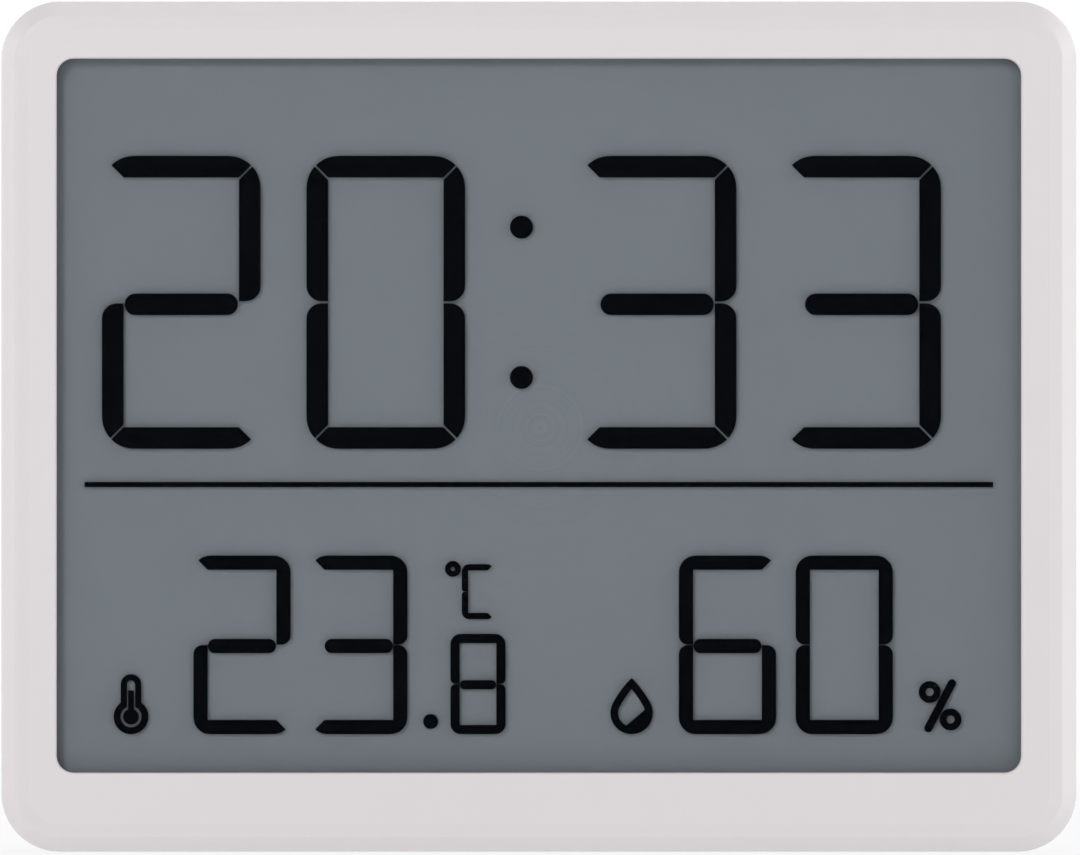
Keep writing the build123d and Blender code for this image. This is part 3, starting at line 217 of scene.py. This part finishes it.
class Finish:
    """One material under construction: its nodes, and short ways to add and join them."""

    def __init__(self, name, sockets):
        self.material = bpy.data.materials.new(name)
        self.material.use_nodes = True
        self.tree = self.material.node_tree
        self.shader = self.tree.nodes["Principled BSDF"]
        for socket, value in sockets.items():
            self.drive(socket, value)
        self.place = self.add("ShaderNodeTexCoord").outputs["Object"]

    def feed(self, target, value):
        """Joins a socket to an input, or writes a plain value or colour there."""
        if isinstance(value, bpy.types.NodeSocket):
            self.tree.links.new(value, target)
        elif target.type == "RGBA":
            target.default_value = (*value, 1)
        else:
            target.default_value = value

    def drive(self, socket, value):
        """Feeds one of the shader's own sockets."""
        self.feed(self.shader.inputs[socket], value)

    def add(self, kind, inputs=None, **settings):
        """Adds a node with its settings and feeds its inputs."""
        made = self.tree.nodes.new(kind)
        for name, value in settings.items():
            setattr(made, name, value)
        for key, value in (inputs or {}).items():
            self.feed(made.inputs[key], value)
        return made

    def math(self, operation, first, second=0.0):
        """One sum on two values."""
        return self.add("ShaderNodeMath", {0: first, 1: second}, operation=operation).outputs[0]

    def moved(self, centre, scale=(1, 1, 1)):
        """Position about a centre, each axis times a scale."""
        location = [-c * s for c, s in zip(centre, scale)]
        inputs = {"Vector": self.place, "Location": location, "Scale": scale}
        return self.add("ShaderNodeMapping", inputs, vector_type="POINT").outputs["Vector"]

    def axis(self, name, centre=(0, 0, 0)):
        """Position along one axis about a centre."""
        return self.add("ShaderNodeSeparateXYZ", {0: self.moved(centre)}).outputs[name]

    def noise(self, size, detail=2.0, place=None):
        """Cloudy noise whose blotches are about one size wide."""
        inputs = {"Vector": place or self.place, "Scale": 1 / size, "Detail": detail}
        return self.add("ShaderNodeTexNoise", inputs).outputs["Fac"]

    def cells(self, size, distance="EUCLIDEAN"):
        """Distance pattern of scattered cells about one size wide."""
        inputs = {"Vector": self.place, "Scale": 1 / size}
        return self.add("ShaderNodeTexVoronoi", inputs, distance=distance).outputs["Distance"]

    def spread(self, value, low, high, to_low, to_high):
        """Maps a range of values to another and keeps it there."""
        inputs = {"Value": value, "From Min": low, "From Max": high, "To Min": to_low,
                  "To Max": to_high}
        return self.add("ShaderNodeMapRange", inputs).outputs["Result"]

    def blend(self, share, first, second):
        """Colour between two colours."""
        inputs = {"Fac": share, "Color1": first, "Color2": second}
        return self.add("ShaderNodeMixRGB", inputs).outputs["Color"]

    def tint(self, pattern, colour, spread):
        """Drives the base colour along a pattern, from darker to paler than a colour by a share."""
        dark = scaled(colour, 1 - spread)
        pale = scaled(colour, 1 + spread)
        self.drive("Base Color", self.blend(pattern, dark, pale))

    def gloss(self, pattern, roughness, spread):
        """Drives the roughness along a noise pattern, to either side of a middle value."""
        low, high = roughness - spread, roughness + spread
        self.drive("Roughness", self.spread(pattern, NOISE_LOW, NOISE_HIGH, low, high))

    def relief(self, pattern, height):
        """Bumps of a full height in metres along a pattern."""
        made = self.add("ShaderNodeBump", {"Height": pattern, "Distance": height})
        self.drive("Normal", made.outputs["Normal"])


def scaled(colour, share):
    """Colour made darker or paler by a share."""
    return tuple(min(1.0, c * share) for c in colour)


def dress(names, finish):
    """Puts one finish on CAD nodes."""
    for name in names:
        for slot in NODES[name].material_slots:
            slot.material = finish.material


def moulded_plastic(name, colour, roughness, grain, grain_height, cloud=9 * MILLI, patch=1.4 * MILLI):
    """Matt moulded plastic: faint clouds in the colour, uneven gloss and a fine eroded grain."""
    finish = Finish(name, {"Specular IOR Level": 0.4})
    finish.tint(finish.noise(cloud, detail=3), colour, spread=0.01)
    finish.gloss(finish.noise(patch, detail=3), roughness, spread=0.05)
    finish.relief(finish.noise(grain), grain_height)
    return finish


def foam(name, colour, pit=0.12 * MILLI, depth=0.03 * MILLI):
    """Closed-cell foam: pits in a dark matt skin, with painted shade that darkens them towards their
    middles.
    """
    finish = Finish(name, {"Roughness": 0.95, "Specular IOR Level": 0.2})
    pits = finish.cells(pit)
    # Painted shade: the tint follows the pits and is darkest where each pit is deepest.
    finish.tint(pits, colour, spread=0.25)
    finish.relief(pits, depth)
    return finish


def clear_layer(name, colour, clearness, roughness):
    """See-through layer with a faint dark tint."""
    sockets = {"Base Color": colour, "Alpha": 1 - clearness, "Roughness": roughness,
               "Specular IOR Level": 0.1}
    return Finish(name, sockets)


def dull_layer(name, colour, blotch=0.5 * MILLI):
    """Thin layer without gloss whose colour is slightly uneven."""
    finish = Finish(name, {"Roughness": 0.7, "Specular IOR Level": 0.0})
    finish.tint(finish.noise(blotch, detail=3), colour, spread=0.2)
    return finish


def reflector(name, colour, sparkle=0.06 * MILLI, height=0.002 * MILLI):
    """Grey reflector film with a very fine sparkle in its grain."""
    finish = Finish(name, {"Roughness": 0.8, "Specular IOR Level": 0.1})
    grain = finish.noise(sparkle, detail=1)
    finish.tint(grain, colour, spread=0.03)
    finish.relief(grain, height)
    return finish


def striped_rubber(name, dark, pale, pitch=0.2 * MILLI, edge=0.02 * MILLI):
    """Connector rubber: dark carbon layers and pale clear ones in turn along its length."""
    finish = Finish(name, {"Roughness": 0.6})
    away = finish.math("PINGPONG", finish.axis("X"), pitch / 2)
    share = finish.spread(away, (pitch / 2 - edge) / 2, (pitch / 2 + edge) / 2, 0.0, 1.0)
    finish.drive("Base Color", finish.blend(share, dark, pale))
    finish.relief(finish.noise(pitch), edge / 2)
    return finish


def printed_board(name, mask, trace, field=2.2 * MILLI, weave=0.25 * MILLI, height=0.02 * MILLI):
    """Circuit board: tracks that follow the steps between square cells and shine through the solder
    mask, over the weave of the laminate."""
    track_pitch = 0.18
    track_inside = 0.03
    track_outside = 0.05
    thread_share = 0.2
    finish = Finish(name, {"Roughness": 0.35, "Coat Weight": 0.3})
    steps = finish.math("PINGPONG", finish.cells(field, distance="MANHATTAN"), track_pitch)
    track = finish.spread(steps, track_inside, track_outside, 1.0, 0.0)
    clouds = finish.noise(2 * field)
    tone = finish.blend(clouds, scaled(mask, 0.9), scaled(mask, 1.1))
    finish.drive("Base Color", finish.blend(track, tone, trace))
    threads = finish.math("MULTIPLY", finish.cells(weave, distance="CHEBYCHEV"), thread_share)
    finish.relief(finish.math("ADD", track, threads), height)
    return finish


def poured_resin(name, colour, wave=2.5 * MILLI, height=0.05 * MILLI):
    """Drop of glossy resin with slow waves from its pouring."""
    finish = Finish(name, {"Roughness": 0.2})
    waves = finish.noise(wave, detail=1)
    finish.tint(waves, colour, spread=0.3)
    finish.relief(waves, height)
    return finish


def drawn_metal(name, colour, stretch, roughness, mark=0.5 * MILLI, stain=3 * MILLI):
    """Plated metal with fine drawing marks, drawn out along one axis, and faint stains."""
    finish = Finish(name, {"Metallic": 1.0})
    marks = finish.noise(mark, detail=4, place=finish.moved((0, 0, 0), stretch))
    finish.tint(finish.noise(stain, detail=3), colour, spread=0.05)
    finish.gloss(marks, roughness, spread=0.09)
    finish.relief(marks, mark / 125)
    return finish


def turned_metal(name, colour, centre, roughness, ring=0.15 * MILLI, stain=4 * MILLI):
    """Metal turned about an axis along the depth: rings from a noise on the distance to that axis."""
    finish = Finish(name, {"Metallic": 1.0})
    apart = finish.add("ShaderNodeVectorMath", {0: finish.moved(centre, (1, 0, 1))}, operation="LENGTH")
    inputs = {"W": apart.outputs["Value"], "Scale": 1 / ring}
    rings = finish.add("ShaderNodeTexNoise", inputs, noise_dimensions="1D").outputs["Fac"]
    finish.tint(finish.noise(stain), colour, spread=0.04)
    finish.gloss(rings, roughness, spread=0.07)
    finish.relief(rings, ring / 50)
    return finish


def capped_chip(name, node, body, cap, cap_share, speck=0.1 * MILLI):
    """Chip part: a speckled body with a tinned cap at either end of its height."""
    low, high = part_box(node)
    half = (high.z - low.z) / 2
    finish = Finish(name, {"Roughness": 0.5})
    away = finish.math("ABSOLUTE", finish.axis("Z", (0, 0, (low.z + high.z) / 2)))
    capped = finish.spread(away, half * (1 - cap_share), half * (1 - cap_share / 2), 0.0, 1.0)
    specks = finish.noise(speck, detail=3)
    tone = finish.blend(specks, scaled(body, 0.85), scaled(body, 1.1))
    finish.drive("Base Color", finish.blend(capped, tone, cap))
    finish.drive("Metallic", capped)
    finish.relief(specks, speck / 10)
    return finish


def mark_paint(name, colour, blotch=0.3 * MILLI):
    """Thick paint poured in a sunk mark: half matt, and a little uneven."""
    finish = Finish(name, {"Roughness": 0.5})
    blotches = finish.noise(blotch, detail=3)
    finish.tint(blotches, colour, spread=0.08)
    finish.relief(blotches, blotch / 40)
    return finish


def ring_faces(rows, columns, closed=False):
    """Four-cornered faces between rows of points that close on themselves. Closed joins the last row
    to the first as well."""
    starts = np.arange(rows if closed else rows - 1)
    row, column = np.meshgrid(starts, np.arange(columns), indexing="ij")
    after = (column + 1) % columns
    above = (row + 1) % rows
    corners = (
        row * columns + column,
        above * columns + column,
        above * columns + after,
        row * columns + after,
    )
    return np.stack(corners, axis=-1).reshape(-1, 4).tolist()


def fan_faces(ring, pole):
    """Three-cornered faces between a ring of point numbers and the number of a pole."""
    return np.stack((ring, np.roll(ring, -1), np.full(len(ring), pole)), axis=-1).tolist()


def mesh_object(name, points, faces, finish):
    """Object of one finish with its place in its mesh, smooth up to its sharp edges."""
    mesh = bpy.data.meshes.new(name)
    mesh.from_pydata(points.tolist(), [], faces)
    mesh.shade_smooth()
    mesh.set_sharp_from_angle(angle=SHARP_EDGE)
    mesh.materials.append(finish.material)
    made = bpy.data.objects.new(name, mesh)
    bpy.context.scene.collection.objects.link(made)
    return made


def circle(radius, steps):
    """Points of a circle: cosine and sine of an even angle."""
    angle = np.linspace(0, 2 * math.pi, steps, endpoint=False)
    return radius * np.stack((np.cos(angle), np.sin(angle)), axis=-1)


def triangle(radius, steps, upwards):
    """Points evenly along the three sides of a triangle whose corners lie on a circle."""
    sides = 3
    quarter_turn = np.array(((0, 1), (-1, 0)))
    corners = circle(radius, sides) @ quarter_turn * (1 if upwards else -1)
    along = np.linspace(0, sides, steps - steps % sides, endpoint=False)
    side = along.astype(int)
    share = (along - side)[:, None]
    return corners[side] * (1 - share) + corners[(side + 1) % sides] * share


def bar(length, width, steps):
    """Points of a bar with round ends: a circle whose right and left halves are moved apart."""
    points = circle(width / 2, steps)
    points[:, 0] += np.where(points[:, 0] >= 0, 1, -1) * (length - width) / 2
    return points


def on_back(rows, heights, place, floor):
    """Points on the back: rows of offsets about a place, each row at its height over a floor."""
    depth = np.broadcast_to(floor + heights[:, None], rows.shape[:2])
    return np.stack((place[0] + rows[..., 0], depth, place[1] + rows[..., 1]), axis=-1).reshape(-1, 3)


def filled_paint(name, outline, place, floor, marks, finish, body):
    """Paint that fills an outline: rings drawn in from the rim to a pole in the middle, domed by one
    minus the ring's share squared, over a straight skirt and a flat bottom."""
    inwards = np.linspace(1, 0, marks.rings, endpoint=False)
    dome = marks.paint_thickness + marks.paint_crown * (1 - inwards ** 2)
    shares = np.concatenate(([1], inwards))
    heights = np.concatenate(([0], dome))
    points = on_back(shares[:, None, None] * outline, heights, place, floor)
    top = floor + marks.paint_thickness + marks.paint_crown
    poles = ((place[0], floor, place[1]), (place[0], top, place[1]))
    count = len(outline)
    first = np.arange(count)
    last = first + (len(shares) - 1) * count
    faces = ring_faces(len(shares), count)
    faces += fan_faces(first, len(points))
    faces += fan_faces(last[::-1], len(points) + 1)
    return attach(mesh_object(name, np.concatenate((points, poles)), faces, finish), body)


def ring_paint(name, outer, inner, place, floor, marks, finish, body):
    """Paint in a ring-shaped mark: a section with a flat bottom, straight sides and a dome of four
    times a share across it times the rest, carried round the ring."""
    across = np.linspace(0, 1, marks.rings)
    dome = marks.paint_thickness + marks.paint_crown * 4 * across * (1 - across)
    radii = np.concatenate(([outer], outer + (inner - outer) * across, [inner]))
    heights = np.concatenate(([0], dome, [0]))
    points = on_back(radii[:, None, None] * circle(1, marks.steps), heights, place, floor)
    faces = ring_faces(len(radii), marks.steps, closed=True)
    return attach(mesh_object(name, points, faces, finish), body)


def middle(node):
    """Middle of a node in the front view."""
    low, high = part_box(node)
    return (low.x + high.x) / 2, (low.z + high.z) / 2


def case_plastic(name, finish):
    """Plastic of the case and of the pieces that match it."""
    return moulded_plastic(name, finish.case_colour, finish.case_roughness, finish.case_grain,
                           finish.case_grain_height)


class CLOCK_OT_dress_case(bpy.types.Operator):
    """Dress the two shells of the case"""
    bl_idname = "clock.dress_case"
    bl_label = "Case shells"

    def execute(self, context):
        dress(CASE_SHELLS, case_plastic("case_plastic", context.scene.clock_finish))
        return {"FINISHED"}


class CLOCK_OT_dress_display(bpy.types.Operator):
    """Dress the display: gasket, film, glass, seal, driven areas, reflector, tray and connector"""
    bl_idname = "clock.dress_display"
    bl_label = "Display"

    def execute(self, context):
        finish = context.scene.clock_finish
        dress(("display_gasket",), foam("gasket_foam", finish.foam_colour))
        film = clear_layer("matt_film", finish.film_colour, finish.film_clearness, roughness=0.6)
        dress(("lcd_front_polariser",), film)
        glass = clear_layer("display_glass", finish.film_colour, finish.glass_clearness, roughness=0.1)
        dress(GLASSES, glass)
        dress(("lcd_edge_seal",), dull_layer("edge_glue", finish.glue_colour))
        dress(SEGMENTS, dull_layer("segment_ink", finish.segment_colour))
        dress(("lcd_reflector",), reflector("grey_reflector", finish.ground_colour))
        tray = moulded_plastic("tray_plastic", finish.tray_colour, 0.6, finish.case_grain,
                               finish.case_grain_height)
        dress(("display_tray",), tray)
        zebra = striped_rubber("zebra_rubber", finish.resin_colour, finish.rubber_colour)
        dress(("zebra_strip",), zebra)
        return {"FINISHED"}


class CLOCK_OT_dress_board(bpy.types.Operator):
    """Dress the circuit board and what is soldered to it"""
    bl_idname = "clock.dress_board"
    bl_label = "Board"

    def execute(self, context):
        finish = context.scene.clock_finish
        grain = (finish.chip_grain, finish.chip_grain_height)
        along_z = (8, 8, 1)
        laminate = printed_board("board_laminate", finish.board_colour, finish.trace_colour)
        dress(("main_board",), laminate)
        dress(("controller_blob",), poured_resin("black_resin", finish.resin_colour))
        crystal = drawn_metal("crystal_can", finish.steel_colour, along_z, roughness=0.3)
        dress(("clock_crystal",), crystal)
        dress(("humidity_sensor",), moulded_plastic("sensor_body", finish.sensor_colour, 0.5, *grain))
        capacitor = capped_chip("chip_ceramic", "chip_capacitors", finish.ceramic_colour,
                                finish.steel_colour, 0.45)
        dress(("chip_capacitors",), capacitor)
        resistor = capped_chip("resistor_black", "chip_resistors", finish.resin_colour,
                               finish.steel_colour, 0.4)
        dress(("chip_resistors",), resistor)
        switch = moulded_plastic("switch_plastic", finish.switch_colour, 0.5, *grain)
        dress(("switch_bodies",) + PLUNGERS, switch)
        return {"FINISHED"}


class CLOCK_OT_dress_power(bpy.types.Operator):
    """Dress the coin cell, its contacts and the battery door"""
    bl_idname = "clock.dress_power"
    bl_label = "Cell and door"

    def execute(self, context):
        finish = context.scene.clock_finish
        x, z = middle("coin_cell")
        along_x = (1, 6, 6)
        dress(("coin_cell",), turned_metal("cell_metal", finish.steel_colour, (x, 0, z), roughness=0.3))
        contact = drawn_metal("contact_metal", finish.contact_colour, along_x, roughness=0.3)
        dress(("battery_plus_contact", "battery_minus_contact"), contact)
        dress(("battery_door",), case_plastic("door_plastic", finish))
        return {"FINISHED"}


class CLOCK_OT_dress_stand(bpy.types.Operator):
    """Dress the folding stand and its pin"""
    bl_idname = "clock.dress_stand"
    bl_label = "Stand"

    def execute(self, context):
        finish = context.scene.clock_finish
        along_x = (1, 8, 8)
        dress(("stand_leg",), case_plastic("stand_plastic", finish))
        dress(("stand_pin",), drawn_metal("pin_steel", finish.steel_colour, along_x, roughness=0.3))
        return {"FINISHED"}


class CLOCK_OT_dress_fasteners(bpy.types.Operator):
    """Dress the case screws and the magnets"""
    bl_idname = "clock.dress_fasteners"
    bl_label = "Screws and magnets"

    def execute(self, context):
        finish = context.scene.clock_finish
        along_x = (1, 5, 5)
        along_z = (4, 4, 1)
        screw = drawn_metal("screw_steel", finish.screw_colour, along_x, roughness=0.35)
        dress(("case_screws",), screw)
        magnet = drawn_metal("magnet_plate", finish.steel_colour, along_z, roughness=0.25)
        dress(("back_magnets",), magnet)
        return {"FINISHED"}


class CLOCK_OT_dress_buttons(bpy.types.Operator):
    """Dress the four buttons and pour the paint of their signs"""
    bl_idname = "clock.dress_buttons"
    bl_label = "Buttons"

    def execute(self, context):
        finish = context.scene.clock_finish
        marks = context.scene.clock_marks
        plastic = moulded_plastic("button_plastic", finish.button_colour, 0.38, finish.chip_grain,
                                  finish.chip_grain_height)
        dress(BUTTONS, plastic)
        paint = mark_paint("button_paint", finish.mark_colour)
        radius = marks.button_mark_radius - marks.paint_gap
        stroke = marks.button_mark_stroke - 2 * marks.paint_gap
        outlines = {
            "up": triangle(radius - marks.paint_gap, marks.steps, upwards=True),
            "down": triangle(radius - marks.paint_gap, marks.steps, upwards=False),
            "unit": bar(2 * radius, stroke, marks.steps),
        }
        for key in KEYS:
            node = f"{key}_button"
            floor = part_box(node)[1].y - marks.button_mark_depth
            settings = (middle(node), floor, marks, paint, f"{key}_key")
            if key in outlines:
                filled_paint(f"{key}_sign", outlines[key], *settings)
            else:
                ring_paint(f"{key}_sign", radius, radius - stroke, *settings)
        return {"FINISHED"}


class CLOCK_OT_door_marks(bpy.types.Operator):
    """Pour the paint of the marks that show whether the battery door is locked"""
    bl_idname = "clock.door_marks"
    bl_label = "Door marks"

    def execute(self, context):
        finish = context.scene.clock_finish
        marks = context.scene.clock_marks
        paint = mark_paint("door_paint", finish.mark_colour)
        low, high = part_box("battery_door")
        x, z = middle("battery_door")
        rim = (high.x - low.x) / 2
        turn = next(j for j in frame["joints"] if j["name"] == "door_turn")
        angle = math.radians(turn["range_deg"][1])
        radius = marks.door_mark_radius - marks.paint_gap
        dot = circle(radius, marks.steps)
        door_place = (x, z + rim - marks.door_mark_margin)
        filled_paint("door_dot", dot, door_place, high.y - marks.door_mark_depth, marks, paint, "door")
        reach = rim + marks.door_gap + marks.door_mark_margin
        floor = CAD_HIGH.y - marks.door_mark_depth
        filled_paint("locked_dot", dot, (x, z + reach), floor, marks, paint, "case")
        open_place = (x + reach * math.sin(angle), z + reach * math.cos(angle))
        inner = marks.door_mark_radius - marks.door_mark_stroke + marks.paint_gap
        ring_paint("open_ring", radius, inner, open_place, floor, marks, paint, "case")
        return {"FINISHED"}


def light_panel(name, place, target, width, height, share):
    """Soft panel that lights a facing surface at its target to a share of full exposure: a matt surface
    then shows its own colour times the share, which takes pi squared times the squared distance in
    watts."""
    data = bpy.data.lights.new(name, "AREA")
    data.shape = "RECTANGLE"
    data.size = width
    data.size_y = height
    panel = bpy.data.objects.new(name, data)
    bpy.context.scene.collection.objects.link(panel)
    away = np.array(place) - np.array(target)
    distance = float(np.linalg.norm(away))
    data.energy = share * math.pi ** 2 * distance ** 2
    panel.location = place
    yaw = math.atan2(away[1], away[0]) + math.pi / 2
    panel.rotation_euler = (math.acos(away[2] / distance), 0, yaw)
    panel.visible_camera = False
    return panel


def seen_or_lit(tree, lit, seen=None):
    """One share for light on the clock, and another where the camera looks, straight, mirrored or
    through glass: all of it, or what a socket gives."""
    path = tree.nodes.new("ShaderNodeLightPath")
    looked_at = path.outputs["Is Camera Ray"]
    for kind in ("Is Glossy Ray", "Is Transmission Ray"):
        either = tree.nodes.new("ShaderNodeMath")
        either.operation = "MAXIMUM"
        tree.links.new(looked_at, either.inputs[0])
        tree.links.new(path.outputs[kind], either.inputs[1])
        looked_at = either.outputs[0]
    share = tree.nodes.new("ShaderNodeMapRange")
    tree.links.new(looked_at, share.inputs["Value"])
    share.inputs["To Min"].default_value = lit
    share.inputs["To Max"].default_value = 1.0
    if seen:
        tree.links.new(seen, share.inputs["To Max"])
    return share.outputs["Result"]


def make_sky(scene, lit):
    """World that lights evenly by a share and looks plain white."""
    world = bpy.data.worlds.new("studio")
    scene.world = world
    world.use_nodes = True
    background = world.node_tree.nodes["Background"]
    background.inputs["Color"].default_value = (1, 1, 1, 1)
    strength = seen_or_lit(world.node_tree, lit)
    world.node_tree.links.new(strength, background.inputs["Strength"])


def make_floor(stage):
    """Round floor at the clock's foot: rings about a pole, whose radius grows with the square of their
    number. Its paper is seen as plain white away from the clock, and keeps the shadow near it."""
    radii = np.linspace(0, 1, stage.floor_rings + 1)[1:] ** 2 * stage.floor_radius
    flat = (radii[:, None, None] * circle(1, stage.floor_steps)).reshape(-1, 2)
    points = np.zeros((len(flat) + 1, 3))
    points[:-1, :2] = flat
    faces = ring_faces(stage.floor_rings, stage.floor_steps)
    faces += fan_faces(np.arange(stage.floor_steps), len(flat))
    finish = Finish("floor_paper", {"Roughness": 0.9, "Specular IOR Level": 0.1})
    finish.tint(finish.noise(stage.floor_fibre, detail=4), stage.floor_colour, spread=0.01)
    away = finish.add("ShaderNodeVectorMath", {0: finish.place}, operation="LENGTH").outputs["Value"]
    seen = finish.spread(away, CAD_HIGH.x, stage.floor_fade, stage.floor_white, 1.0)
    share = seen_or_lit(finish.tree, stage.floor_glow, seen)
    white = finish.add("ShaderNodeEmission")
    layers = {0: share, 1: finish.shader.outputs[0], 2: white.outputs[0]}
    mixed = finish.add("ShaderNodeMixShader", layers)
    finish.feed(finish.tree.nodes["Material Output"].inputs["Surface"], mixed.outputs[0])
    mesh_object("floor", points, faces, finish)


def make_camera(scene, stage):
    """Camera square to the front face, at the distance where the lens shows the view's width."""
    data = bpy.data.cameras.new("camera")
    data.lens = stage.lens
    data.clip_end = VIEW_REACH
    camera = bpy.data.objects.new("camera", data)
    scene.collection.objects.link(camera)
    distance = stage.view_width * stage.lens / data.sensor_width
    camera.location = (stage.view_x, CAD_LOW.y - distance, stage.view_z)
    camera.rotation_euler = (math.pi / 2, 0, 0)
    scene.camera = camera


class CLOCK_OT_set_stage(bpy.types.Operator):
    """Set the floor, the sky, the light panels and the camera"""
    bl_idname = "clock.set_stage"
    bl_label = "Stage"

    def execute(self, context):
        scene = context.scene
        stage = scene.clock_stage
        scene.view_settings.view_transform = "Standard"
        scene.cycles.transparent_max_bounces = stage.clear_faces
        make_floor(stage)
        make_sky(scene, stage.sky_share)
        make_camera(scene, stage)
        target = (0, 0, CAD_HIGH.z / 2)
        for name, (place, width, height) in PANELS.items():
            light_panel(f"{name}_panel", place, target, width, height, getattr(stage, f"{name}_share"))
        return {"FINISHED"}


OPERATORS = (
    CLOCK_OT_dress_case,
    CLOCK_OT_dress_display,
    CLOCK_OT_dress_board,
    CLOCK_OT_dress_power,
    CLOCK_OT_dress_stand,
    CLOCK_OT_dress_fasteners,
    CLOCK_OT_dress_buttons,
    CLOCK_OT_door_marks,
    CLOCK_OT_set_stage,
)
GROUPS = {"clock_finish": ClockFinish, "clock_marks": ClockMarks, "clock_stage": ClockStage}


class CLOCK_PT_panel(bpy.types.Panel):
    """Lists the clock's pieces and their settings"""
    bl_label = "Display clock"
    bl_space_type = "VIEW_3D"
    bl_region_type = "UI"
    bl_category = "Clock"

    def draw(self, context):
        for operator in OPERATORS:
            self.layout.operator(operator.bl_idname)
        for name in GROUPS:
            group = getattr(context.scene, name)
            box = self.layout.box()
            for setting in group.bl_rna.properties.keys():
                if setting not in ("rna_type", "name"):
                    box.prop(group, setting)


def register():
    """Registers the classes and hangs the settings on the scene."""
    for name, group in GROUPS.items():
        bpy.utils.register_class(group)
        setattr(bpy.types.Scene, name, PointerProperty(type=group))
    for made in (*OPERATORS, CLOCK_PT_panel):
        bpy.utils.register_class(made)


def unregister():
    """Takes the classes and the settings away again."""
    for made in (CLOCK_PT_panel, *reversed(OPERATORS)):
        bpy.utils.unregister_class(made)
    for name, group in reversed(GROUPS.items()):
        delattr(bpy.types.Scene, name)
        bpy.utils.unregister_class(group)


def main():
    """Makes every piece in order."""
    register()
    for operator in OPERATORS:
        space, name = operator.bl_idname.split(".")
        getattr(getattr(bpy.ops, space), name)()


if __name__ == "__main__":
    main()
